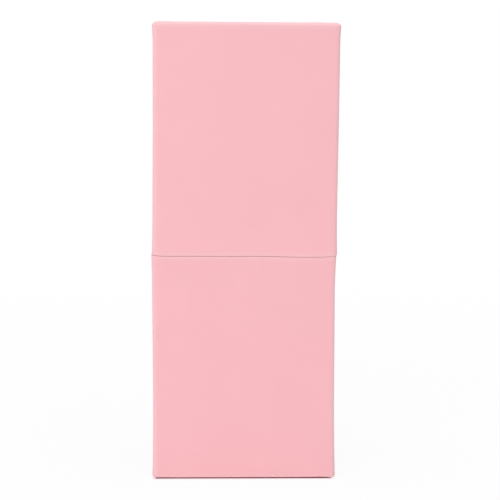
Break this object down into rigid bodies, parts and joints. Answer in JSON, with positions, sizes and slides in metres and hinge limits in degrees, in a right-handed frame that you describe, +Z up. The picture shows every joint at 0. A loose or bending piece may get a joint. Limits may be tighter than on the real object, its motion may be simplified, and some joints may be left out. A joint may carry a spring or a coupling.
{
  "type": "makeup brush case",
  "caption": "Tall rectangular leather covered makeup brush case in two halves; the upper half lifts off a covered neck inside the lower half and magnets in the rims hold it shut.",
  "frame": {"origin": "middle of the underside, on the surface that the case stands on", "axes": "+Z up, -Y towards the viewer of the wide front face, +X to the right of that viewer"},
  "size_m": [0.0844, 0.068, 0.21],
  "materials": {
    "pink_leather": "satin",
    "lining_cloth": "matte",
    "grey_board": "matte",
    "nickel": "polished"
  },
  "bodies": {
    "base": {"base_leather_wrap": "pink_leather", "base_foot_panel": "pink_leather", "base_front_board": "grey_board", "base_back_board": "grey_board", "base_left_board": "grey_board", "base_right_board": "grey_board", "base_end_board": "grey_board", "base_floor_pad": "lining_cloth", "base_magnet_front_left": "nickel", "base_magnet_front_right": "nickel", "base_magnet_back_left": "nickel", "base_magnet_back_right": "nickel", "neck_front_board": "grey_board", "neck_back_board": "grey_board", "neck_left_board": "grey_board", "neck_right_board": "grey_board", "neck_cover": "lining_cloth"},
    "lid": {"lid_leather_wrap": "pink_leather", "lid_top_panel": "pink_leather", "lid_front_board": "grey_board", "lid_back_board": "grey_board", "lid_left_board": "grey_board", "lid_right_board": "grey_board", "lid_end_board": "grey_board", "lid_wall_lining": "lining_cloth", "lid_ceiling_pad": "lining_cloth", "lid_magnet_front_left": "nickel", "lid_magnet_front_right": "nickel", "lid_magnet_back_left": "nickel", "lid_magnet_back_right": "nickel"}
  },
  "joints": [
    {"name": "lid_lift", "type": "slide", "parent": "base", "child": "lid", "axis": [0, 0, 1], "range_m": [0, 0.11]}
  ]
}
